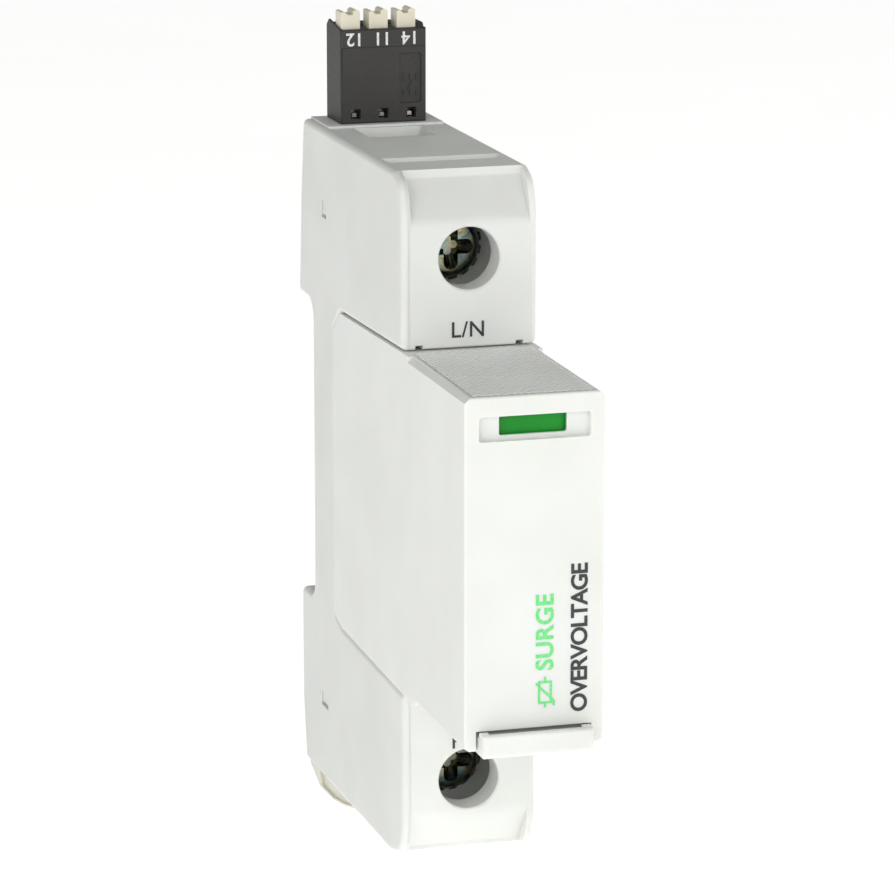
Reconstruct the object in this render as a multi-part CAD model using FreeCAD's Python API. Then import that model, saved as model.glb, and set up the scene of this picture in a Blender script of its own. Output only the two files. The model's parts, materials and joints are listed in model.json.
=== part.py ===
import FreeCAD, Part
import math
import os

# One-module DIN-rail surge protector: a base that clips on the rail, a plug-in varistor
# cartridge, two screw terminals and a pluggable remote-signal connector. Millimetres.
# X is the width, +Z is up, and the front faces -Y. The origin is the middle of the seat that
# rests on the 35 mm rail. "depth" below is the distance in front of that seat, so Y = -depth.

# Housing
width = 17.8                    # one module
half_w = width / 2
half_h = 45.0                   # half the height of the base
shoulder = 44.4                 # depth of the two terminal heads
spine = 10.9                    # depth of the base behind the plug
wall = 1.5
cover_t = 1.0                   # left side cover
edge_r = 0.75                   # rounded outer edges
seam = 0.03                     # small bevel along the joint of cover and shell
lip_back = 40.4                 # depth of the lip above each head's scoop
lip_foot = 43.9                 # height where that lip meets the scoop's floor
scoop_end = 38.7                # height where the scoop's floor reaches the front
scoop_left, scoop_right = -7.7, 7.9
pocket_top = 22.75              # underside of the upper head at its front
pocket_floor = -22.2            # top of the lower head at its front
relief_deep = 0.25              # grooves that end the rail seat short of the hooks
relief_wide = 0.4
relief_z = (15.3, -15.7)        # middle heights of those grooves

# Terminals
screw_z = 34.1                  # height of the terminal screws, above and below the middle
access_r = 4.02                 # screwdriver hole
access_len = 4.1
head_r = 3.95
head_h = 2.8
head_depth = 36.0               # front of the screw head
flange_r = 4.6                  # serrated washer face under the head
flange_t = 0.9
flange_teeth = 16
shank_r = 2.5
thread_pitch = 0.8
wire_half = 4.6                 # half width of the wire window
wire_low, wire_high = 6.1, 14.5     # depth of the wire window
cage_half = 4.5                 # half height of the clamp cage
cage_back, cage_front = 3.3, 26.0
bar_low, bar_high = 15.5, 17.5      # depth of the current bar inside the cage

# Plug
plug_front = 72.2
plug_gap = 0.2                  # between the plug and the base
plug_top = 22.45
plug_bottom = -21.8
plug_wall = 1.4
blade_z = 15.0                  # height of the flat contacts
blade_t = 1.0

# Indicator
recess_half = 7.1
recess_low, recess_high = 16.9, 20.0
recess_deep = 0.9
window_half = 4.3
window_low, window_high = 17.45, 19.9
flag_drop = 3.4

# Latch at the lower front of the plug
latch_half = 7.1
grip_front = 74.5               # front of the grip bar
grip_top = -19.3
grip_floor = -20.0              # hollow behind the bar's lip
latch_pivot = (60.0, -20.6)     # depth, height
latch_pin_r = 0.7

# Remote-signal connector
pitch = 3.81
conn_half = 5.9
conn_back, conn_front = -3.0, 4.3
conn_low, conn_high = 45.3, 57.9
pad_high = 45.3
socket_half = 5.6
socket_back, socket_front = -2.6, 3.9
socket_floor = 39.8
pin_depth = 0.65
lever_x = [i * pitch - 0.45 for i in (-1, 0, 1)]    # centres of the three release levers
lever_half = 1.3
lever_back, lever_front = 0.5, 3.45
lever_play = 0.1

# Foot
foot_half = 5.0
foot_travel = 3.5
handle_half = 8.1
handle_pocket = 0.35            # depth of the hollow in each side of the handle
spring_low, spring_high = -36.5, -27.0


def at(x, depth, z):
    """A point given by its width, its depth in front of the rail seat and its height."""
    return FreeCAD.Vector(x, -depth, z)


def rounded_wire(corners, place):
    """A closed wire through flat corners (u, v) or (u, v, radius), each rounded by an arc."""
    points = [FreeCAD.Vector(c[0], c[1], 0) for c in corners]
    radii = [c[2] if len(c) > 2 else 0 for c in corners]
    edges = []
    first = None
    last = None
    for i, point in enumerate(points):
        before = (points[i - 1] - point).normalize()
        after = (points[(i + 1) % len(points)] - point).normalize()
        half_turn = before.getAngle(after) / 2
        reach = radii[i] / math.tan(half_turn)
        start = point + before * reach
        end = point + after * reach
        if last is not None and (start - last).Length > 1e-6:
            edges.append(Part.LineSegment(place(last), place(start)).toShape())
        if radii[i]:
            middle = (before + after).normalize()
            near = point + middle * (radii[i] / math.sin(half_turn) - radii[i])
            edges.append(Part.Arc(place(start), place(near), place(end)).toShape())
        if first is None:
            first = start
        last = end
    if (first - last).Length > 1e-6:
        edges.append(Part.LineSegment(place(last), place(first)).toShape())
    return Part.Wire(edges)


def side_slab(corners, x_low, x_high):
    """An outline in depth and height, as thick as the stretch of width."""
    wire = rounded_wire(corners, lambda p: at(x_low, p.x, p.y))
    return Part.Face(wire).extrude(at(x_high - x_low, 0, 0))


def front_slab(corners, depth_low, depth_high):
    """An outline in width and height, from one depth to another."""
    wire = rounded_wire(corners, lambda p: at(p.x, depth_low, p.y))
    return Part.Face(wire).extrude(at(0, depth_high - depth_low, 0))


def top_slab(corners, z_low, z_high):
    """An outline in width and depth, from one height to another."""
    wire = rounded_wire(corners, lambda p: at(p.x, p.y, z_low))
    return Part.Face(wire).extrude(at(0, 0, z_high - z_low))


def box(x_low, x_high, depth_low, depth_high, z_low, z_high):
    size = (x_high - x_low, depth_high - depth_low, z_high - z_low)
    return Part.makeBox(size[0], size[1], size[2], at(x_low, depth_high, z_low))


def rectangle(u_low, u_high, v_low, v_high, radius):
    corners = [(u_low, v_low), (u_high, v_low), (u_high, v_high), (u_low, v_high)]
    return [corner + (radius,) for corner in corners]


def rod_y(radius, x, z, depth_low, depth_high):
    """A round bar along the depth."""
    return Part.makeCylinder(radius, depth_high - depth_low, at(x, depth_low, z), at(0, 1, 0))


def rod_x(radius, depth, z, x_low, x_high):
    """A round bar along the width."""
    return Part.makeCylinder(radius, x_high - x_low, at(x_low, depth, z), at(1, 0, 0))


def rod_z(radius, x, depth, z_low, z_high):
    """A round bar along the height."""
    return Part.makeCylinder(radius, z_high - z_low, at(x, depth, z_low), at(0, 0, 1))


def edges_where(shape, test):
    """The edges whose every vertex passes the test, given as x, depth, z."""
    found = []
    for edge in shape.Edges:
        if all(test(v.X, -v.Y, v.Z) for v in edge.Vertexes):
            found.append(edge)
    return found


def edges_by_middle(shape, test):
    """The edges whose middle passes the test, given as x, depth, z."""
    found = []
    for edge in shape.Edges:
        middle = edge.CenterOfMass
        if test(middle.x, -middle.y, middle.z):
            found.append(edge)
    return found


def round_edges(shape, radius, test):
    return shape.makeFillet(radius, edges_where(shape, test))


def near(value, target):
    return abs(value - target) < 0.01


def upside_down(shape):
    """The mirror image below the middle of the height."""
    return shape.mirror(FreeCAD.Vector(0, 0, 0), FreeCAD.Vector(0, 0, 1))


def coil(radius, wire_r, low, high, turns, x, depth):
    """An upright compression spring between two heights."""
    rise = (high - low - 2 * wire_r) / turns
    helix = Part.makeHelix(rise, high - low - 2 * wire_r, radius)
    ring = Part.Circle(FreeCAD.Vector(radius, 0, 0), FreeCAD.Vector(0, 1, 0), wire_r)
    profile = Part.Wire([ring.toShape()])
    spring = Part.Wire(helix.Edges).makePipeShell([profile], True, True)
    spring.translate(at(x, depth, low + wire_r))
    return spring


# ---------------------------------------------------------------- base housing

base_outline = [
    (-4.5, half_h, 0.8),
    (shoulder - 4.0, half_h, 0.8),
    (shoulder - 1.2, half_h - 1.2, 3.2),
    (shoulder, half_h - 5.0, 4.0),
    (shoulder, pocket_top, 0.4),
    (14.2, 22.0, 2.6),
    (spine, 19.4, 0.4),
    (spine, -20.3, 0.8),
    (14.4, -21.3, 2.0),
    (shoulder, pocket_floor, 0.4),
    (shoulder, 5.0 - half_h, 4.0),
    (shoulder - 1.2, 1.2 - half_h, 3.2),
    (38.0, -half_h, 1.0),
    (-5.2, -half_h, 0.7),
    (-6.8, -36.0, 2.0),
    (-6.8, -20.5, 0.9),
    (0.0, -20.5, 2.6),
    (0.0, 20.8, 2.9),
    (-7.3, 20.8, 0.9),
    (-6.0, 35.0, 4.0),
]


def base_slab(x_low, x_high):
    return side_slab(base_outline, x_low, x_high)


def inside(x_low, x_high):
    """The base's outline drawn in by the thickness of its rim."""
    wire = rounded_wire(base_outline, lambda p: at(x_low, p.x, p.y))
    inner = Part.Face(wire).makeOffset2D(-wall, join=2)
    return inner.extrude(at(x_high - x_low, 0, 0))


def scoop():
    """The slanted hollow in a head's front, which leaves a short lip under the top edge."""
    profile = [(lip_back, lip_foot, 0.5), (shoulder, scoop_end), (shoulder + 2.0, scoop_end),
               (shoulder + 2.0, half_h + 1.0), (lip_back, half_h + 1.0)]
    return side_slab(profile, scoop_left, scoop_right)


def soft_scoop(blank):
    """Cuts both scoops, and rounds the right cheek and the foot of each floor."""
    for turn in (lambda shape: shape, upside_down):
        blank = blank.cut(turn(scoop()))

    def on_foot(x, d, z):
        return near(d, shoulder) and near(abs(z), scoop_end) and abs(x) < 1.0

    def on_cheek(x, d, z):
        above_floor = abs(z) - lip_foot > -1.3 * (d - lip_back) + 0.25
        return near(x, scoop_right) and d > lip_back and above_floor

    blank = blank.makeFillet(2.5, edges_by_middle(blank, on_foot))
    return blank.makeFillet(0.2, edges_by_middle(blank, on_cheek))


def scoop_backing():
    """The wall behind the scoop, inside the head."""
    profile = [(38.5, 44.2), (38.5, 43.0), (42.0, 38.2), (shoulder - 1.0, 38.2), (shoulder - 1.0, 44.2)]
    return side_slab(profile, left_x, half_w - 1.0)


def wire_window():
    """The funnel that leads a conductor down into the clamp cage."""
    lead_in = 0.5
    mouths = []
    for z, draw in ((half_h + 0.05, 0.0), (half_h - 1.2, lead_in)):
        corners = rectangle(-wire_half + draw, wire_half - draw, wire_low + draw, wire_high - draw, 0.3)
        mouths.append(rounded_wire(corners, lambda p: at(p.x, p.y, z)))
    funnel = Part.makeLoft(mouths, True, True)
    shaft = box(-wire_half + lead_in, wire_half - lead_in, wire_low + lead_in, wire_high - lead_in,
                half_h - 2.5, half_h - 1.1)
    return funnel.fuse(shaft)


def top_groove():
    """A shallow wedge-shaped label groove across the top."""
    return side_slab([(31.0, 44.15), (34.5, 45.05), (34.5, 46.0), (31.0, 46.0)], -7.7, 7.7)


def access_tube():
    """The collar behind a screwdriver hole."""
    return rod_y(access_r + 1.4, 0, screw_z, shoulder - access_len, shoulder - wall + 0.1)


def access_hole():
    bore = rod_y(access_r, 0, screw_z, shoulder - access_len - 1, shoulder + 1)
    rim = Part.makeCone(access_r, access_r + 0.25, 0.25, at(0, shoulder - 0.25, screw_z), at(0, 1, 0))
    return bore.fuse(rim)


def screw_wall():
    """The wall that a screw head bears on, with a clear hole for the shank."""
    plate = box(left_x, half_w - wall, 31.4, 33.1, 23.6, 44.0)
    return plate.cut(rod_y(shank_r + 0.2, 0, screw_z, 31.0, 34.0))


def corner_notches():
    """The small notches beside the tongue under a head's front."""
    notch = box(6.1, 7.1, shoulder - 2.2, shoulder + 1.0, 22.0, 23.3)
    return notch.fuse(box(-7.1, -6.1, shoulder - 2.2, shoulder + 1.0, 22.0, 23.3))


def relief(x_low, x_high, z):
    """A relief groove across the rail seat."""
    return box(x_low, x_high, -1.0, relief_deep, z - relief_wide / 2, z + relief_wide / 2)


left_x = -half_w + cover_t
shell_blank = base_slab(left_x, half_w)
shell_blank = round_edges(shell_blank, edge_r, lambda x, d, z: near(x, half_w))
shell_blank = shell_blank.makeChamfer(seam, edges_where(shell_blank, lambda x, d, z: near(x, left_x)))
shell_blank = soft_scoop(shell_blank)

base_shell = shell_blank.cut(inside(left_x - 1, half_w - wall))
foot_block = box(left_x, half_w - wall, -6.6, 1.6, -44.8, -21.6)
base_shell = base_shell.fuse(foot_block.common(shell_blank))
for turn in (lambda shape: shape, upside_down):
    inner_walls = [turn(access_tube()), turn(screw_wall()), turn(scoop_backing()).common(shell_blank)]
    base_shell = base_shell.fuse(inner_walls)
    for hollow in (wire_window(), top_groove(), access_hole()):
        base_shell = base_shell.cut(turn(hollow))
base_shell = base_shell.cut(corner_notches())

for z in relief_z:
    base_shell = base_shell.cut(relief(left_x, half_w, z))

# Rear pad and socket for the remote-signal connector
pad = top_slab(rectangle(-8.0, 8.0, -3.9, 5.45, 0.3), half_h - 1.0, pad_high)
socket_rim = box(-socket_half - 1.0, socket_half + 1.0, socket_back - 1.0, socket_front + 1.0,
                 socket_floor - 0.9, half_h - 0.5)
base_shell = base_shell.fuse([pad.common(box(left_x, half_w, -9, 9, 40, 50)), socket_rim])
base_shell = base_shell.cut(box(-socket_half, socket_half, socket_back, socket_front, socket_floor, 50))
for i in (-1, 0, 1):
    hole = box(i * pitch - 0.7, i * pitch + 0.7, pin_depth - 0.7, pin_depth + 0.7, 38, 41)
    base_shell = base_shell.cut(hole)

# Openings in the spine for the plug's contacts, its coding peg and the signal pin
for z in (-blade_z, blade_z):
    base_shell = base_shell.cut(box(-3.5, 3.5, spine - 2.0, spine + 1.0, z - 0.9, z + 0.9))
for x in (-5.0, 5.0):
    base_shell = base_shell.cut(rod_y(1.25, x, 0, spine - 2.0, spine + 1.0))

# Fixed hook behind the rail's upper edge, channel for the foot, and the spring's stop
hook = side_slab([(-1.25, 21.5), (-1.25, 16.3, 0.3), (-3.6, 15.6, 0.5), (-5.2, 21.5)], -6.5, 7.0)
base_shell = base_shell.fuse(hook)
channel = box(-foot_half - 0.2, foot_half + 0.2, -4.9, -1.0, -46.0, -19.0)
stop = box(-1.3, 1.3, -5.0, -0.9, spring_low - 1.5, spring_low)
base_shell = base_shell.cut(channel.cut(stop))

# Snap noses that hold the side cover, each on its own tongue
snap_windows = [(4.9, 7.5, 33.2, 35.5), (3.4, 7.2, -34.75, -32.8)]
upper_tongue = box(left_x, -7.0, 5.0, 7.4, 33.3, 43.8)
lower_tongue = box(left_x, -7.0, 1.0, 7.1, -34.65, -32.9)
base_shell = base_shell.fuse([upper_tongue, lower_tongue])
for low, high, bottom, top in snap_windows:
    nose = box(-half_w + 0.25, left_x + 0.2, low + 0.1, high - 0.3, bottom + 0.4, top - 0.15)
    base_shell = base_shell.fuse(nose)
base_shell = base_shell.removeSplitter()

base_side_cover = base_slab(-half_w, left_x)
base_side_cover = round_edges(base_side_cover, edge_r, lambda x, d, z: near(x, -half_w))
for z in relief_z:
    base_side_cover = base_side_cover.cut(relief(-half_w, left_x, z))
for low, high, bottom, top in snap_windows:
    base_side_cover = base_side_cover.cut(box(-10, -7, low, high, bottom, top))


# ---------------------------------------------------------------- foot

def make_foot():
    """Slide with a hook for the rail's lower edge and a handle below the base."""
    stem = box(-foot_half, foot_half, -4.7, -1.2, -46.2, -16.2)
    slope = side_slab([(-5.0, -18.6), (-5.0, -16.0), (-2.2, -16.0)], -9.0, 9.0)
    handle = side_slab([(-6.0, -45.25), (-6.2, -46.0, 0.6), (-0.7, -47.95, 2.5), (6.4, -47.75, 3.0),
                        (12.2, -46.9, 4.0), (18.0, -45.6, 0.3), (18.0, -45.25)],
                       -handle_half, handle_half)
    handle = round_edges(handle, 0.2, lambda x, d, z: near(abs(x), handle_half))
    for side in (-1, 1):
        pocket = [(-0.9, -45.0), (0.35, -47.5, 0.3), (6.4, -47.4, 3.0), (12.1, -46.55, 4.0),
                  (16.8, -45.5, 0.3), (16.8, -45.0)]
        floor_x = side * (handle_half - handle_pocket)
        handle = handle.cut(side_slab(pocket, min(floor_x, side * 9.0), max(floor_x, side * 9.0)))
    conductor_way = box(-4.9, 4.9, 5.6, 15.0, -49.0, -44.0)
    spring_window = box(-1.6, 1.6, -6.0, 0.0, -43.5, spring_high)
    foot = stem.cut(slope).fuse(handle)
    return foot.cut(conductor_way).cut(spring_window).removeSplitter()


din_foot = make_foot()
foot_spring = coil(1.1, 0.2, spring_low, spring_high, 6, 0, -2.95)


# ---------------------------------------------------------------- terminals

def recess_arm(mouth_x, mouth_z, floor_x, floor_z):
    """One arm of the cross recess, given as half sizes, narrowing towards its floor."""
    wires = []
    for depth, half_x, half_z in ((head_depth + 0.01, mouth_x, mouth_z), (head_depth - 1.7, floor_x, floor_z)):
        corners = rectangle(-half_x, half_x, screw_z - half_z, screw_z + half_z, 0.9 * min(half_x, half_z))
        wires.append(rounded_wire(corners, lambda p: at(p.x, depth, p.y)))
    return Part.makeLoft(wires, True, True)


def make_screw():
    """Pan-head clamping screw with a tapered cross recess and a serrated flange."""
    head_back = head_depth - head_h
    head = rod_y(head_r, 0, screw_z, head_back, head_depth)
    head = head.makeFillet(0.8, edges_where(head, lambda x, d, z: near(d, head_depth)))
    flange = rod_y(flange_r, 0, screw_z, head_back, head_back + flange_t)
    for i in range(flange_teeth):
        turn = 2 * math.pi * i / flange_teeth
        gap_x = (flange_r + 0.1) * math.cos(turn)
        gap_z = screw_z + (flange_r + 0.1) * math.sin(turn)
        flange = flange.cut(rod_y(0.42, gap_x, gap_z, head_back - 1, head_back + flange_t + 1))
    shank = rod_y(shank_r, 0, screw_z, bar_high + 0.1, head_back)
    shank = shank.makeChamfer(0.4, edges_where(shank, lambda x, d, z: near(d, bar_high + 0.1)))
    cross = recess_arm(2.9, 0.95, 1.3, 0.5).fuse(recess_arm(0.95, 2.9, 0.5, 1.3))
    return head.fuse([flange, shank]).cut(cross)


def make_cage():
    """Rising cage: the screw draws it forwards and traps the conductor against the bar."""
    outer = box(-6.0, 6.0, cage_back, cage_front - 4.0, screw_z - cage_half, screw_z + cage_half)
    outer = round_edges(outer, 0.6, lambda x, d, z: near(abs(x), 6.0) and near(d, cage_back))
    opening = box(-5.0, 5.0, cage_back + 1.6, cage_front - 7.0, screw_z - 9, screw_z + 9)
    hole = rod_y(shank_r + 0.08, 0, screw_z, cage_front - 8.0, cage_front)
    return outer.cut(opening).cut(hole)


def make_busbar():
    """Current bar: upright in the cage, back along the floor and down to the contact jaw."""
    profile = [(bar_low, 40.5), (bar_high, 40.5), (bar_high, 24.6, 2.0), (6.2, 24.6, 0.3),
               (6.2, blade_z + 1.3), (4.6, blade_z + 1.3), (4.6, 26.2, 1.8), (bar_low, 26.2, 0.3)]
    return side_slab(profile, -4.0, 4.0)


def make_jaw():
    """Sprung fork that grips a flat contact of the plug."""
    half_gap = blade_t / 2 + 0.04
    outer = box(-3.2, 3.2, 2.9, 9.0, blade_z - 1.3, blade_z + 1.3)
    return outer.cut(box(-4, 4, 3.4, 10, blade_z - half_gap, blade_z + half_gap))


# ---------------------------------------------------------------- remote signal, fixed part

signal_board = box(-6.5, 6.5, 1.7, 2.7, -10.0, 38.4)
signal_header = box(-socket_half, socket_half, -0.9, 1.7, 30.0, 38.4)
microswitch_body = box(1.6, 7.2, 2.7, 6.4, -6.4, 6.4)
microswitch_body = microswitch_body.cut(rod_y(0.9, 5.0, 0, 4.4, 7.0))
microswitch_button = rod_y(0.8, 5.0, 0, 5.0, 7.4)
signal_pin = rod_y(1.0, 5.0, 0, 7.4, 13.4)
pins = []
for i in (-1, 0, 1):
    pin = box(i * pitch - 0.5, i * pitch + 0.5, pin_depth - 0.5, pin_depth + 0.5, 38.4, 43.6)
    pins.append(pin)
header_pins = Part.makeCompound(pins)


# ---------------------------------------------------------------- remote-signal connector

def make_connector():
    body = box(-conn_half, conn_half, conn_back, conn_front, conn_low, conn_high)
    body = round_edges(body, 0.3, lambda x, d, z: near(abs(x), conn_half) and near(d, conn_front))
    band = box(-conn_half + 0.1, conn_half - 0.1, conn_front - 0.5, conn_front + 0.15, 55.5, conn_high - 0.1)
    low = conn_high - 0.5
    rear_ridge = side_slab([(conn_back, low), (conn_back, conn_high), (-1.9, 58.3, 0.4),
                            (lever_back - 0.4, 58.1), (lever_back - 0.4, low)], -conn_half, conn_half)
    left_cheek = side_slab([(conn_back, low), (conn_back, conn_high), (-1.9, 58.7), (3.9, conn_high),
                            (3.9, low)], -conn_half, -conn_half + 0.3)
    right_cheek = side_slab([(conn_back, low), (conn_back, conn_high), (-1.9, 58.4), (3.0, 58.4, 0.6),
                             (3.0, low)], lever_x[2] + lever_half + lever_play, conn_half)
    plug_in = box(-socket_half + 0.15, socket_half - 0.15, socket_back + 0.15, socket_front - 0.15,
                  socket_floor + 0.2, conn_low + 0.5)
    body = body.fuse([band, rear_ridge, left_cheek, right_cheek, plug_in])
    panel = front_slab(rectangle(2.2, 5.2, 47.9, 54.5, 0.3), conn_front - 0.25, conn_front + 1)
    body = body.cut(panel)
    for i in (-1, 0, 1):
        x = i * pitch
        body = body.cut(box(x - 0.65, x + 0.65, pin_depth + 0.8, conn_front + 1, 45.95, 47.25))
        body = body.cut(box(x - 0.9, x + 0.9, pin_depth - 0.9, pin_depth + 0.9, socket_floor, 48.0))
        body = body.cut(rod_z(1.1, x, -1.7, 50.0, 60.0))
    for x in lever_x:
        half = lever_half + lever_play
        body = body.cut(box(x - half, x + half, lever_back - 0.15, lever_front + 0.1, 52.0, 60.0))
    return body.removeSplitter()


def make_lever(x):
    """Push lever with a groove along its top for a screwdriver tip, beside a rounded beak."""
    low = 54.2
    left = x - lever_half
    right = x + lever_half
    profile = [(left, low), (right, low), (right, 60.15, 0.3), (left + 2.0, 60.5, 0.25),
               (left + 1.6, 60.2, 0.15), (left + 1.6, 59.8, 0.08), (left + 0.95, 59.8, 0.1),
               (left + 0.5, 60.2, 0.15), (left, 60.2, 0.15)]
    lever = front_slab(profile, lever_back, lever_front)
    return round_edges(lever, 0.15, lambda px, d, z: near(abs(px - x), lever_half) and near(d, lever_front))


connector_body = make_connector()
release_levers = [make_lever(x) for x in lever_x]
sockets = []
springs = []
for i, lever in zip((-1, 0, 1), lever_x):
    x = i * pitch
    tube = box(x - 0.85, x + 0.85, pin_depth - 0.85, pin_depth + 0.85, socket_floor + 0.4, 47.9)
    tube = tube.cut(box(x - 0.54, x + 0.54, pin_depth - 0.54, pin_depth + 0.54, 38, 47.4))
    tip = box(x - 0.3, x + 0.3, pin_depth + 0.7, 3.3, 46.1, 46.6)
    sockets.append(tube.fuse(tip))
    springs.append(box(lever - 0.9, lever + 0.9, 0.9, 3.2, 52.0, 53.0))
connector_sockets = Part.makeCompound(sockets)
connector_springs = Part.makeCompound(springs)


# ---------------------------------------------------------------- plug

plug_outline = [
    (spine + plug_gap, 19.2, 0.4),
    (14.3, 21.78, 2.4),
    (shoulder, pocket_top - plug_gap),
    (plug_front, plug_top, 0.35),
    (plug_front, plug_bottom, 0.35),
    (50.4, plug_bottom),
    (50.0, pocket_floor + plug_gap),
    (shoulder, pocket_floor + plug_gap),
    (14.5, -21.1, 1.8),
    (spine + plug_gap, -20.1, 0.6),
]
cover_back = spine + plug_gap
cover_front = cover_back + plug_wall
slot_half = latch_half + 0.3
slot_back = 50.6
slot_top = -18.5
slot_mouth = -19.25              # lower edge of the plug's front above the grip bar
mouth_back = 67.0


def long_edge_chamfer(start, side, edge_z, drop):
    """The flat that breaks one of the plug's long edges, from a depth to the front."""
    edge_x = side * half_w
    inner_x = edge_x - side * 0.75
    past_x = edge_x + side
    past_z = edge_z + math.copysign(1.0, drop)
    corners = [(inner_x, edge_z), (edge_x, edge_z - drop), (past_x, edge_z - drop),
               (past_x, past_z), (inner_x, past_z)]
    return front_slab(corners, start, plug_front + 1)


def make_plug_shell():
    blank = side_slab(plug_outline, -half_w, half_w)
    for side in (-1, 1):
        blank = blank.cut(long_edge_chamfer(47.0, side, plug_top, 0.65))
        blank = blank.cut(long_edge_chamfer(50.4, side, plug_bottom, -0.5))
    blank = round_edges(blank, 0.25, lambda x, d, z: near(abs(x), half_w) and near(d, plug_front))
    wire = rounded_wire(plug_outline, lambda p: at(plug_wall - half_w, p.x, p.y))
    hollow = Part.Face(wire).makeOffset2D(-plug_wall, join=2)
    hollow = hollow.extrude(at(width - 2 * plug_wall, 0, 0))
    hollow = hollow.cut(box(-9, 9, slot_back - plug_wall, plug_front + 1, -23, slot_top + plug_wall))
    shell = blank.cut(hollow)
    inner_x = half_w - plug_wall
    shell = shell.cut(box(-inner_x, inner_x, cover_back - 1, cover_front + 0.2, -19.2, 18.4))
    slot = box(-slot_half, slot_half, slot_back, mouth_back, -23, slot_top)
    mouth = box(-slot_half, slot_half, mouth_back - 1, plug_front + 1, -23, slot_mouth)
    shell = shell.cut([slot, mouth])
    shell = shell.cut(rod_x(latch_pin_r, latch_pivot[0], latch_pivot[1], -half_w + 0.6, half_w - 0.6))
    recess = rectangle(-recess_half, recess_half, recess_low, recess_high, 0.4)
    shell = shell.cut(front_slab(recess, plug_front - recess_deep, plug_front + 1))
    window = rectangle(-window_half, window_half, window_low, window_high, 0.3)
    return shell.cut(front_slab(window, plug_front - 4, plug_front)).removeSplitter()


def make_rear_cover():
    """Closes the plug and lets its contacts and the signal pin through."""
    half = half_w - plug_wall - 0.05
    cover = box(-half, half, cover_back, cover_front, -19.1, 18.3)
    for z in (-blade_z, blade_z):
        cover = cover.cut(box(-3.05, 3.05, cover_back - 1, cover_front + 1,
                              z - blade_t / 2 - 0.02, z + blade_t / 2 + 0.02))
    return cover.cut(rod_y(1.5, 5.0, 0, cover_back - 1, cover_front + 1))


def make_blade(foot_z):
    """Flat contact that enters the base, cranked inside the plug."""
    profile = [(3.7, blade_z - blade_t / 2), (18.0, blade_z - blade_t / 2), (18.0, foot_z),
               (19.0, foot_z), (19.0, blade_z + blade_t / 2), (3.7, blade_z + blade_t / 2)]
    return side_slab(profile, -3.0, 3.0)


def electrode(x_low, x_high, tab):
    plate = side_slab(rectangle(27.0, 53.0, -13.0, 13.0, 3.0), x_low, x_high)
    return plate.fuse(tab).removeSplitter()


def make_arm():
    """Lever held by low-melting solder; its tail holds the signal pin back."""
    pivot = (22.0, -4.0)
    lever = side_slab([(20.6, -5.6, 1.0), (23.4, -5.6, 1.0), (58.0, 7.4, 0.6), (58.0, 10.4, 0.6),
                       (22.0, -1.8, 0.8), (14.6, 2.2, 0.4), (13.5, 1.5, 0.3), (13.5, -1.6, 0.3)],
                      4.4, 5.2)
    return lever.cut(rod_x(0.8, pivot[0], pivot[1], 3, 7))


plug_shell = make_plug_shell()
plug_rear_cover = make_rear_cover()
upper_blade = make_blade(8.0)
lower_blade = upside_down(make_blade(11.0))
varistor_block = side_slab(rectangle(23.0, 57.0, -16.5, 16.5, 4.0), -2.9, 2.9)
front_electrode = electrode(-3.7, -2.9, box(-3.7, -2.9, 19.0, 30.0, -12.8, -11.0))
solder_electrode = electrode(2.9, 3.7, box(2.9, 4.4, 55.0, 57.5, 7.6, 10.0).fuse(
    box(2.9, 3.7, 50.0, 57.5, 7.6, 10.0)))
disconnect_arm = make_arm()
disconnect_pivot = rod_x(0.74, 22.0, -4.0, 3.9, half_w - plug_wall)
disconnect_spring = coil(0.8, 0.2, -17.0, 0.2, 9, 6.4, 40.0)
status_flag = box(-4.9, 4.9, 69.5, 70.4, 17.0, 20.6)
status_flag = status_flag.fuse(box(4.9, 6.6, 62.0, 70.4, 14.2, 20.6)).removeSplitter()
fault_panel = box(plug_wall - half_w, 4.7, 68.2, 69.1, 13.6, 20.9)
coding_peg = rod_y(1.1, -5.0, 0, 8.6, cover_back)


def make_latch():
    """Grip bar in front, hinged under the plug's floor, with its nose towards the base."""
    grip_back = plug_front + 0.2
    profile = [(46.0, -20.6), (slot_back, -20.3), (57.5, grip_floor), (60.0, -19.3, 1.2),
               (62.5, grip_floor), (grip_back, grip_floor), (grip_back, grip_top, 0.15),
               (grip_front, grip_top, 0.35), (grip_front, -22.2, 0.5), (60.0, -21.95), (46.0, -21.95)]
    bar = side_slab(profile, -latch_half, latch_half)
    bar = bar.cut(box(1.1 - latch_half, latch_half - 1.1, grip_back - 0.1, grip_front - 1.0, grip_floor, -19))
    plan = [(-latch_half, 45.0), (latch_half, 45.0), (latch_half, grip_front, 0.6),
            (-latch_half, grip_front, 0.6)]
    bar = bar.common(top_slab(plan, -23.0, -19.0))
    bar = bar.cut(box(-9, -3.0, 45, slot_back + 0.2, -23, -19))
    bar = bar.cut(box(3.0, 9, 45, slot_back + 0.2, -23, -19))
    return bar.cut(rod_x(latch_pin_r + 0.05, latch_pivot[0], latch_pivot[1], -9, 9))


latch_bar = make_latch()
latch_slot = box(-3.2, 3.2, 45.8, slot_back + 0.1, -23, -19.4)
plug_shell = plug_shell.cut(latch_slot)
latch_pin = rod_x(latch_pin_r, latch_pivot[0], latch_pivot[1], -half_w + 0.6, half_w - 0.6)


# ---------------------------------------------------------------- write each piece

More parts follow.
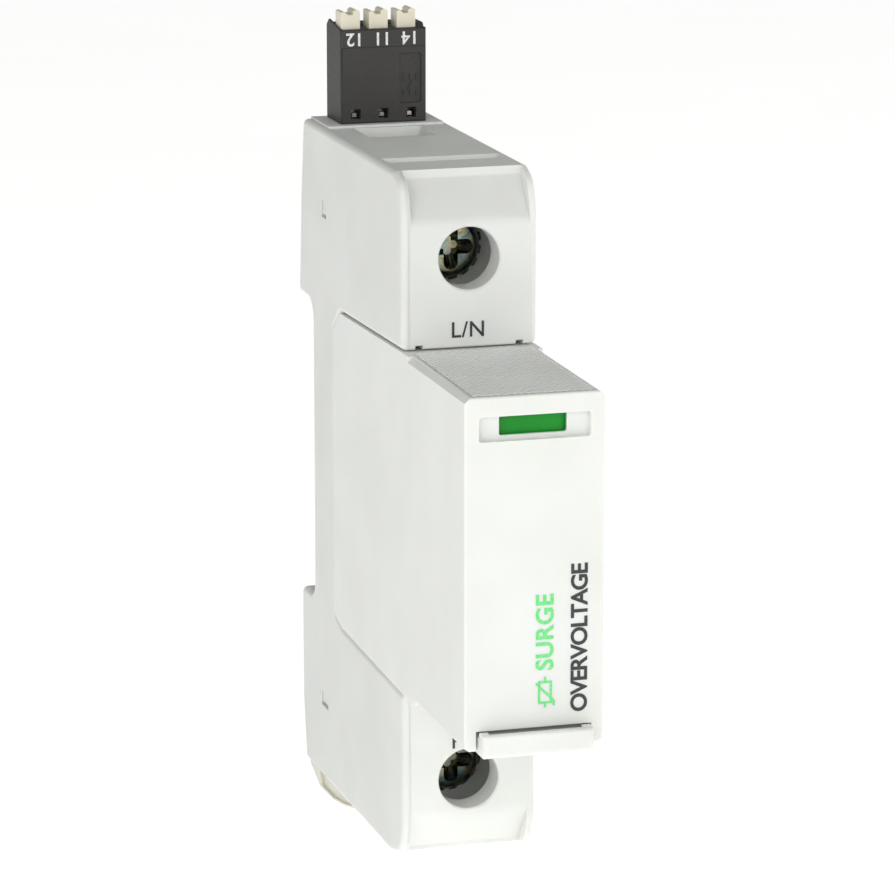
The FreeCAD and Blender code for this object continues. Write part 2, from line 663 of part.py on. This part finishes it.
pieces = {
    "base_shell": base_shell,
    "base_side_cover": base_side_cover,
    "din_foot": din_foot,
    "foot_spring": foot_spring,
    "upper_terminal_screw": make_screw(),
    "lower_terminal_screw": upside_down(make_screw()),
    "upper_clamp_cage": make_cage(),
    "lower_clamp_cage": upside_down(make_cage()),
    "upper_busbar": make_busbar(),
    "lower_busbar": upside_down(make_busbar()),
    "upper_contact_jaw": make_jaw(),
    "lower_contact_jaw": upside_down(make_jaw()),
    "signal_board": signal_board,
    "signal_header": signal_header,
    "header_pins": header_pins,
    "microswitch_body": microswitch_body,
    "microswitch_button": microswitch_button,
    "signal_pin": signal_pin,
    "connector_body": connector_body,
    "connector_sockets": connector_sockets,
    "connector_springs": connector_springs,
    "release_lever_12": release_levers[0],
    "release_lever_11": release_levers[1],
    "release_lever_14": release_levers[2],
    "plug_shell": plug_shell,
    "plug_rear_cover": plug_rear_cover,
    "upper_blade": upper_blade,
    "lower_blade": lower_blade,
    "varistor_block": varistor_block,
    "front_electrode": front_electrode,
    "solder_electrode": solder_electrode,
    "disconnect_arm": disconnect_arm,
    "disconnect_pivot": disconnect_pivot,
    "disconnect_spring": disconnect_spring,
    "status_flag": status_flag,
    "fault_panel": fault_panel,
    "coding_peg": coding_peg,
    "latch_bar": latch_bar,
    "latch_pin": latch_pin,
}

os.makedirs("parts", exist_ok=True)
for name, shape in pieces.items():
    shape.exportStep("parts/" + name + ".step")
    box_size = shape.BoundBox
    print(name, len(shape.Solids), shape.isValid(), round(shape.Volume, 1),
          [round(v, 2) for v in (box_size.XMin, box_size.XMax, -box_size.YMax, -box_size.YMin,
                                 box_size.ZMin, box_size.ZMax)])
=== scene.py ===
import math
import bmesh
import bpy
from mathutils import Matrix, Vector
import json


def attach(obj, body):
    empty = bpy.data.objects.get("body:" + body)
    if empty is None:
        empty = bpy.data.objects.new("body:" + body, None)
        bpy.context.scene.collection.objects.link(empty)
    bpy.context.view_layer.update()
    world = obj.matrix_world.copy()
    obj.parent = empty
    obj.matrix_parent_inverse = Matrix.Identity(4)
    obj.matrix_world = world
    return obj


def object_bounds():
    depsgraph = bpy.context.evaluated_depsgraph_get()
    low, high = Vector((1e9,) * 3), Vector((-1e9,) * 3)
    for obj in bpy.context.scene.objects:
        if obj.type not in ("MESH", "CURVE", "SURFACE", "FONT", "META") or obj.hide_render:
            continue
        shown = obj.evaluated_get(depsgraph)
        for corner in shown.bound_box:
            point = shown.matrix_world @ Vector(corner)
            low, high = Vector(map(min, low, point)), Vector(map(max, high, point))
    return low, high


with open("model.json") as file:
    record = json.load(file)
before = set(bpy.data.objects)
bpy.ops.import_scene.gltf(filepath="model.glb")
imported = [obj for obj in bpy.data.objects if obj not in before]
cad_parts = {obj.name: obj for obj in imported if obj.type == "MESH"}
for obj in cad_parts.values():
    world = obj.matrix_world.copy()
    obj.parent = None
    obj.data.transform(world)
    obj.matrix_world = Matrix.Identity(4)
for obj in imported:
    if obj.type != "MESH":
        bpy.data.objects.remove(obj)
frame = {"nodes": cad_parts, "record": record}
cad_low, cad_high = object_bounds()

MM = 0.001
nodes = frame["nodes"]


# ---------------------------------------------------------------- camera, floor and light

def aim(turn, height):
    """A unit vector from the object towards a viewer at that turn about Z and that height."""
    turn, height = math.radians(turn), math.radians(height)
    return Vector((math.sin(turn) * math.cos(height), -math.cos(turn) * math.cos(height),
                   math.sin(height)))


def add_camera(place, turn, height, lens_mm):
    """A long lens in front and to the left, looking slightly down."""
    data = bpy.data.cameras.new("camera")
    data.lens = lens_mm
    data.clip_start = 0.05
    camera = bpy.data.objects.new("camera", data)
    bpy.context.scene.collection.objects.link(camera)
    camera.location = place
    camera.rotation_mode = "QUATERNION"
    camera.rotation_quaternion = (-aim(turn, height)).to_track_quat("-Z", "Y")
    bpy.context.scene.camera = camera


def add_softbox(name, turn, height, distance, size, watts):
    """A rectangular lamp that faces the object from a turn about Z and a height."""
    data = bpy.data.lights.new(name, "AREA")
    data.shape = "RECTANGLE"
    data.size, data.size_y = size
    data.energy = watts
    light = bpy.data.objects.new(name, data)
    bpy.context.scene.collection.objects.link(light)
    towards = aim(turn, height)
    light.location = towards * distance
    light.rotation_mode = "QUATERNION"
    light.rotation_quaternion = towards.to_track_quat("Z", "Y")


def srgb(code):
    """A hex colour as the linear red, green, blue and alpha that shaders use."""
    values = [int(code[i:i + 2], 16) / 255 for i in (1, 3, 5)]
    linear = [v / 12.92 if v <= 0.04045 else ((v + 0.055) / 1.055) ** 2.4 for v in values]
    return (*linear, 1.0)


# ---------------------------------------------------------------- materials

def add_node(tree, kind, inputs=None, **settings):
    """A node with its options set, and its inputs given as values or as sockets to link."""
    node = tree.nodes.new(kind)
    for name, value in settings.items():
        setattr(node, name, value)
    for name, value in (inputs or {}).items():
        if isinstance(value, bpy.types.NodeSocket):
            tree.links.new(value, node.inputs[name])
        else:
            node.inputs[name].default_value = value
    return node


def new_material(name):
    material = bpy.data.materials.new(name)
    material.use_nodes = True
    material.node_tree.nodes.clear()
    return material, material.node_tree


def finish_material(tree, inputs):
    """Ends a material with a surface shader that has the given inputs."""
    shader = add_node(tree, "ShaderNodeBsdfPrincipled", inputs)
    add_node(tree, "ShaderNodeOutputMaterial", {"Surface": shader.outputs[0]})


def object_place(tree):
    return add_node(tree, "ShaderNodeTexCoord").outputs["Object"]


def noise(tree, place, grain_mm, **inputs):
    """Soft noise with lumps of about the given size; keywords set its other inputs."""
    values = {"Vector": place, "Scale": 1 / (grain_mm * MM)}
    values.update(inputs)
    return add_node(tree, "ShaderNodeTexNoise", values).outputs["Fac"]


def uneven(tree, grain, rough_low, rough_high, relief_mm):
    """Roughness and relief that follow one grain, as shader inputs."""
    polish = add_node(tree, "ShaderNodeMapRange",
                      {"Value": grain, "From Min": 0.3, "From Max": 0.7,
                       "To Min": rough_low, "To Max": rough_high})
    bump = add_node(tree, "ShaderNodeBump",
                    {"Height": grain, "Strength": 1.0, "Distance": relief_mm * MM})
    return {"Roughness": polish.outputs["Result"], "Normal": bump.outputs["Normal"]}


def ramp(tree, factor, stops):
    """A colour ramp through (position, hex colour) stops."""
    node = add_node(tree, "ShaderNodeValToRGB", {"Fac": factor})
    elements = node.color_ramp.elements
    for element, (place, code) in zip(elements, (stops[0], stops[-1])):
        element.position = place
        element.color = srgb(code)
    for place, code in stops[1:-1]:
        element = elements.new(place)
        element.color = srgb(code)
    return node.outputs["Color"]


def moulded(name, colour, shade, grain_mm, relief_mm, rough, gloss=0.5, bleed_mm=0.0):
    """Injection-moulded plastic: a fine spark-eroded grain and faint clouds of colour."""
    material, tree = new_material(name)
    place = object_place(tree)
    grain = noise(tree, place, grain_mm, Detail=3.0, Roughness=0.6)
    clouds = noise(tree, place, 14, Detail=2.0, Roughness=0.5)
    inputs = {"Base Color": ramp(tree, clouds, [(0.35, shade), (0.65, colour)]),
              "IOR": 1.5, "Specular IOR Level": gloss}
    inputs.update(uneven(tree, grain, rough - 0.06, rough + 0.06, relief_mm))
    if bleed_mm:
        inputs["Subsurface Weight"] = 0.6
        inputs["Subsurface Radius"] = (1.2, 1.0, 0.8)
        inputs["Subsurface Scale"] = bleed_mm * MM
    finish_material(tree, inputs)
    return material


def metal(name, colour, shade, grain_mm, relief_mm, rough):
    """Bare or plated metal with drawn or stamped streaks that run upwards."""
    material, tree = new_material(name)
    drawn = add_node(tree, "ShaderNodeMapping", {"Vector": object_place(tree), "Scale": (1, 1, 0.08)})
    grain = noise(tree, drawn.outputs["Vector"], grain_mm, Detail=4.0)
    inputs = {"Base Color": ramp(tree, grain, [(0.3, shade), (0.7, colour)]), "Metallic": 1.0}
    inputs.update(uneven(tree, grain, rough * 0.7, rough * 1.4, relief_mm))
    finish_material(tree, inputs)
    return material


def passivated(name, rough):
    """Zinc with a blue chromate film, whose thickness wanders and tints it blue, green and straw."""
    material, tree = new_material(name)
    place = object_place(tree)
    film = noise(tree, place, 1.8, Detail=2.0, Distortion=0.8)
    tints = [(0.30, "#5C6A72"), (0.42, "#6E8A86"), (0.50, "#8F938C"), (0.60, "#A39B78"), (0.70, "#6C716D")]
    scuffs = noise(tree, place, 0.35, Detail=4.0)
    inputs = {"Base Color": ramp(tree, film, tints), "Metallic": 1.0}
    inputs.update(uneven(tree, scuffs, rough * 0.6, rough * 1.5, 0.006))
    finish_material(tree, inputs)
    return material


def ink(name, colour, wear):
    """Pad-printed ink: even colour that thins a little where the grain lets it."""
    material, tree = new_material(name)
    pores = noise(tree, object_place(tree), 0.25, Detail=2.0)
    tint = ramp(tree, pores, [(0.40, wear), (0.62, colour)])
    finish_material(tree, {"Base Color": tint, "Roughness": 0.42, "IOR": 1.5})
    return material


bpy.context.scene.view_settings.view_transform = "Standard"
add_camera(place=(-0.15814, -0.57476, 0.13758), turn=-16.31, height=13.0, lens_mm=180.4)
add_softbox("front_softbox", turn=8, height=18, distance=1.1, size=(0.9, 0.5), watts=2.8)
add_softbox("near_left_softbox", turn=-40, height=24, distance=0.42, size=(0.26, 0.26), watts=0.47)
add_softbox("right_strip", turn=80, height=5, distance=0.9, size=(0.2, 0.7), watts=2.2)

# Polyamide from a spark-eroded mould: a dry, even sheen with a fine grain, cool off-white.
housing = moulded("polyamide_housing_spark_eroded", "#E4E5E2", "#DEDFDB", 0.22, 0.012, 0.50, 0.4, 0.5)
plug_plastic = moulded("polyamide_plug_spark_eroded", "#E9EAE7", "#E4E5E1", 0.20, 0.010, 0.46, 0.4, 0.5)
# Acetal slides well and is slightly waxy, so its highlights are soft and its white is yellower.
foot_plastic = moulded("acetal_foot_satin", "#DEDDD0", "#D6D5C6", 0.30, 0.008, 0.38, 0.5, 0.6)
lever_plastic = moulded("acetal_levers_satin", "#E6E0CE", "#DBD4C1", 0.25, 0.008, 0.36, 0.5, 0.4)
# Glass-filled polyamide: matt warm black, with fibres that leave a coarse dry grain.
black_plastic = moulded("glass_filled_connector_black", "#343231", "#2C2A2A", 0.28, 0.030, 0.55)
# Smooth pigmented styrene of the indicator: a clear strong colour with a soft gloss.
green_plastic = moulded("flag_green_smooth", "#0E9C28", "#0A8A20", 0.40, 0.003, 0.38, 0.3)
# The same smooth styrene in signal red.
red_plastic = moulded("panel_red_smooth", "#C3201B", "#B01713", 0.40, 0.003, 0.35)
# Solder mask over copper: glossy green lacquer.
board_lacquer = moulded("board_solder_mask", "#1E6B3C", "#185A31", 0.50, 0.006, 0.30)
# Dipped epoxy powder: thick, lumpy and glossy blue.
epoxy = moulded("varistor_epoxy_dipped", "#2F5FA8", "#27508F", 1.20, 0.040, 0.28)
# Drawn wire: grey metal with faint lines along it.
steel = metal("spring_steel_drawn", "#9B9B99", "#7F7F7D", 0.3, 0.002, 0.30)
# Blue-passivated zinc: a bright, slightly rainbow-tinted screw.
zinc = passivated("zinc_blue_passivated", 0.16)
# Stamped and plated sheet: warm nickel, yellow brass and paler silver, all softly polished.
nickel = metal("nickel_plated_cage", "#B9B3A8", "#A09A8E", 0.3, 0.003, 0.28)
brass = metal("brass_stamped", "#C0925A", "#A87B45", 0.4, 0.004, 0.30)
silver = metal("silver_plated_contact", "#C9C7C0", "#B3B0A8", 0.3, 0.003, 0.24)
# Thin flat ink: a touch shinier than the plastic under it, and slightly uneven.
black_ink = ink("pad_print_black", "#262728", "#3A3B3C")
green_ink = ink("pad_print_green", "#5FD873", "#83E191")
white_ink = ink("pad_print_white", "#F2F2F0", "#C9C9C7")

finishes = {
    "housing": housing, "plug_plastic": plug_plastic, "foot_plastic": foot_plastic,
    "lever_plastic": lever_plastic, "connector_plastic": black_plastic, "black_plastic": black_plastic,
    "green_plastic": green_plastic, "red_plastic": red_plastic, "board": board_lacquer, "epoxy": epoxy,
    "steel": steel, "zinc_screw": zinc, "nickel": nickel, "copper_alloy": brass, "silver_contact": silver,
}
for row in frame["record"]["subparts"]:
    node = nodes[row["node"]]
    node.data.materials.clear()
    node.data.materials.append(finishes[row["material_slot"]])


def soften(name, width_mm):
    """Joins a node's loose triangles and breaks its sharp edges, as a mould leaves them."""
    weld = nodes[name].modifiers.new("join", "WELD")
    weld.merge_threshold = 0.0002 * MM
    flat = nodes[name].modifiers.new("whole_faces", "DECIMATE")
    flat.decimate_type = "DISSOLVE"
    flat.angle_limit = math.radians(0.6)
    bevel = nodes[name].modifiers.new("mould_edges", "BEVEL")
    bevel.width = width_mm * MM
    bevel.segments = 2
    bevel.limit_method = "ANGLE"
    bevel.angle_limit = math.radians(40)
    bevel.use_clamp_overlap = False
    bevel.miter_outer = "MITER_ARC"
    shading = nodes[name].modifiers.new("even_faces", "WEIGHTED_NORMAL")
    shading.weight = 80


soften("latch_bar", 0.10)
soften("connector_body", 0.08)


# ---------------------------------------------------------------- small surface details

def add_piece(name, sheet, material, body):
    """A finished piece made from a bmesh in millimetres, which rides on a body."""
    bmesh.ops.scale(sheet, vec=(MM, MM, MM), verts=sheet.verts)
    mesh = bpy.data.meshes.new(name)
    sheet.to_mesh(mesh)
    sheet.free()
    mesh.materials.append(material)
    piece = bpy.data.objects.new(name, mesh)
    bpy.context.scene.collection.objects.link(piece)
    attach(piece, body)
    return piece


def add_print(name, text, height, spacing, bold, thick, matrix, material, body):
    """Lettering a given height tall, in millimetres, laid on a face by the matrix."""
    curve = bpy.data.curves.new(name, "FONT")
    curve.body = text
    curve.align_x = "CENTER"
    curve.align_y = "CENTER"
    curve.size = height / 0.72
    curve.space_character = spacing
    curve.offset = bold * height
    curve.extrude = thick / 2
    curve.resolution_u = 4
    holder = bpy.data.objects.new(name, curve)
    bpy.context.scene.collection.objects.link(holder)
    mesh = bpy.data.meshes.new_from_object(holder)
    bpy.data.objects.remove(holder)
    letters = bmesh.new()
    letters.from_mesh(mesh)
    bpy.data.meshes.remove(mesh)
    bmesh.ops.remove_doubles(letters, verts=letters.verts, dist=0.0005)
    bmesh.ops.transform(letters, matrix=matrix, verts=letters.verts)
    return add_piece(name, letters, material, body)


def on_front(x, depth, z, turn=0):
    """Lays flat work on a face towards the front, turned anticlockwise as seen from there."""
    return (Matrix.Translation((x, -depth, z)) @ Matrix.Rotation(math.radians(90), 4, "X")
            @ Matrix.Rotation(math.radians(turn), 4, "Z"))


def bar(sheet, x_low, x_high, y_low, y_high, thick):
    """One flat stroke, upright thickness centred on the sheet's plane."""
    made = bmesh.ops.create_cube(sheet, size=1.0)["verts"]
    bmesh.ops.scale(sheet, vec=(x_high - x_low, y_high - y_low, thick), verts=made)
    bmesh.ops.translate(sheet, vec=((x_low + x_high) / 2, (y_low + y_high) / 2, 0), verts=made)
    return made


# Depths in front of the rail seat of the faces that carry prints, and the thickness of ink
shoulder, plug_front, conn_front = 44.4, 72.2, 4.3
number_band = 0.15
ink_t = 0.05

add_print("print_line_neutral", "L/N", 2.05, 1.06, 0.012, ink_t, on_front(-0.2, shoulder, 24.95),
          black_ink, "base")
add_print("print_earth", "PE", 2.05, 1.06, 0.012, ink_t, on_front(-0.9, shoulder, -29.0),
          black_ink, "base")
add_print("print_type", "OVERVOLTAGE", 2.1, 0.9, 0.035, ink_t, on_front(5.85, plug_front, -8.3, 90),
          black_ink, "plug")
add_print("print_function", "SURGE", 2.25, 1.04, 0.035, ink_t, on_front(1.45, plug_front, -7.3, 90),
          green_ink, "plug")


def add_varistor_mark():
    """The circuit symbol of a varistor: a box with leads, crossed by a bent stroke."""
    mark = bmesh.new()
    line, half_x, half_y = 0.3, 1.3, 0.75
    slant_half, foot = 1.6, 0.6
    for y in (-half_y, half_y):
        bar(mark, -half_x, half_x, y - line / 2, y + line / 2, ink_t)
    for x in (-half_x, half_x):
        bar(mark, x - line / 2, x + line / 2, -half_y - line / 2, half_y + line / 2, 1.1 * ink_t)
        bar(mark, min(x, x * 1.5), max(x, x * 1.5), -line / 2, line / 2, 1.2 * ink_t)
    slant = bar(mark, -slant_half, slant_half, -line / 2, line / 2, 1.3 * ink_t)
    bmesh.ops.rotate(mark, verts=slant, cent=(0, 0, 0), matrix=Matrix.Rotation(math.radians(45), 3, "Z"))
    reach = slant_half * math.cos(math.radians(45))
    bar(mark, -reach - foot, -reach + 0.08, -reach - line / 2, -reach + line / 2, 1.4 * ink_t)
    bmesh.ops.transform(mark, matrix=on_front(1.4, plug_front, -14.9, 90), verts=mark.verts)
    add_piece("print_varistor", mark, green_ink, "plug")


add_varistor_mark()

for text, x in (("12", -4.0), ("11", -0.2), ("14", 3.6)):
    add_print("number_" + text, text, 1.75, 1.0, 0.02, ink_t, on_front(x, conn_front + number_band, 56.7, 180),
              white_ink, "connector")


def add_knurl():
    """Fine ribs across the top of the plug, for the thumb that pulls it."""
    pitch, high, skirt_deep = 0.68, 0.19, 0.12
    count, steps = 60, 8
    half_x, back, front = 7.7, 46.0, 71.6
    top_at_shoulder, top_drop = 22.55, 0.1
    long = count * pitch
    ribs = bmesh.new()
    bmesh.ops.create_grid(ribs, x_segments=count * steps, y_segments=1, size=long / 2)
    for vertex in ribs.verts:
        step = round((vertex.co.x + long / 2) * steps / pitch)
        vertex.co.z = high if step % steps < steps / 2 else 0.0
    bmesh.ops.rotate(ribs, verts=ribs.verts, cent=(0, 0, 0), matrix=Matrix.Rotation(math.radians(-45), 3, "Z"))
    bmesh.ops.translate(ribs, verts=ribs.verts, vec=(0, -59.0, 0))
    for spot, out in (((-half_x, 0, 0), (-1, 0, 0)), ((half_x, 0, 0), (1, 0, 0)),
                      ((0, -back, 0), (0, 1, 0)), ((0, -front, 0), (0, -1, 0))):
        shape = ribs.verts[:] + ribs.edges[:] + ribs.faces[:]
        bmesh.ops.bisect_plane(ribs, geom=shape, plane_co=spot, plane_no=out, clear_outer=True)
    for vertex in ribs.verts:
        vertex.co.z += top_at_shoulder - top_drop * (-vertex.co.y - shoulder) / (plug_front - shoulder)
    rim = [edge for edge in ribs.edges if edge.is_boundary]
    skirt = bmesh.ops.extrude_edge_only(ribs, edges=rim)["geom"]
    corners = [part for part in skirt if isinstance(part, bmesh.types.BMVert)]
    bmesh.ops.translate(ribs, vec=(0, 0, -skirt_deep), verts=corners)
    bmesh.ops.recalc_face_normals(ribs, faces=ribs.faces)
    add_piece("thumb_ribs", ribs, plug_plastic, "plug")


add_knurl()


def add_changeover_mark():
    """The three-pole changeover contact drawn as raised lines in the connector's panel."""
    mark = bmesh.new()
    line, relief, near_end, far_end = 0.14, 0.06, 0.6, 1.5
    for x in (-0.9, 0.0, 0.9):
        bar(mark, x - line / 2, x + line / 2, -far_end, -near_end, relief)
        bar(mark, x - line / 2, x + line / 2, near_end, far_end, relief)
    blade = bar(mark, -0.75, 0.75, -line / 2, line / 2, relief)
    bmesh.ops.rotate(mark, verts=blade, cent=(0, 0, 0), matrix=Matrix.Rotation(math.radians(62), 3, "Z"))
    bmesh.ops.transform(mark, matrix=on_front(3.7, conn_front - 0.12, 50.2), verts=mark.verts)
    add_piece("changeover_mark", mark, black_plastic, "connector")


add_changeover_mark()


def add_world():
    """Even light from all round, very slightly green."""
    world = bpy.data.worlds.new("studio")
    world.use_nodes = True
    world.node_tree.nodes.clear()
    shader = add_node(world.node_tree, "ShaderNodeBackground", {"Color": srgb("#FCFFFA"), "Strength": 0.32})
    add_node(world.node_tree, "ShaderNodeOutputWorld", {"Surface": shader.outputs[0]})
    bpy.context.scene.world = world


def add_floor():
    """A white light table just under the lowest point that the foot reaches."""
    half_side, foot_room_mm = 3.0, 4.2
    sheet = bmesh.new()
    bmesh.ops.create_grid(sheet, x_segments=1, y_segments=1, size=half_side)
    bmesh.ops.translate(sheet, verts=sheet.verts, vec=(0, 0, cad_low.z - foot_room_mm * MM))
    mesh = bpy.data.meshes.new("floor")
    sheet.to_mesh(mesh)
    sheet.free()
    floor = bpy.data.objects.new("floor", mesh)
    bpy.context.scene.collection.objects.link(floor)
    # Opal acrylic lit from below: matt, almost clear of any colour.
    material, tree = new_material("white_acrylic_light_table")
    tint = ramp(tree, noise(tree, object_place(tree), 60), [(0.3, "#F6F6F6"), (0.7, "#F9F9F9")])
    finish_material(tree, {"Base Color": tint, "Roughness": 0.9, "Emission Color": srgb("#FFFFFF"),
                           "Emission Strength": 0.65})
    mesh.materials.append(material)


add_world()
add_floor()
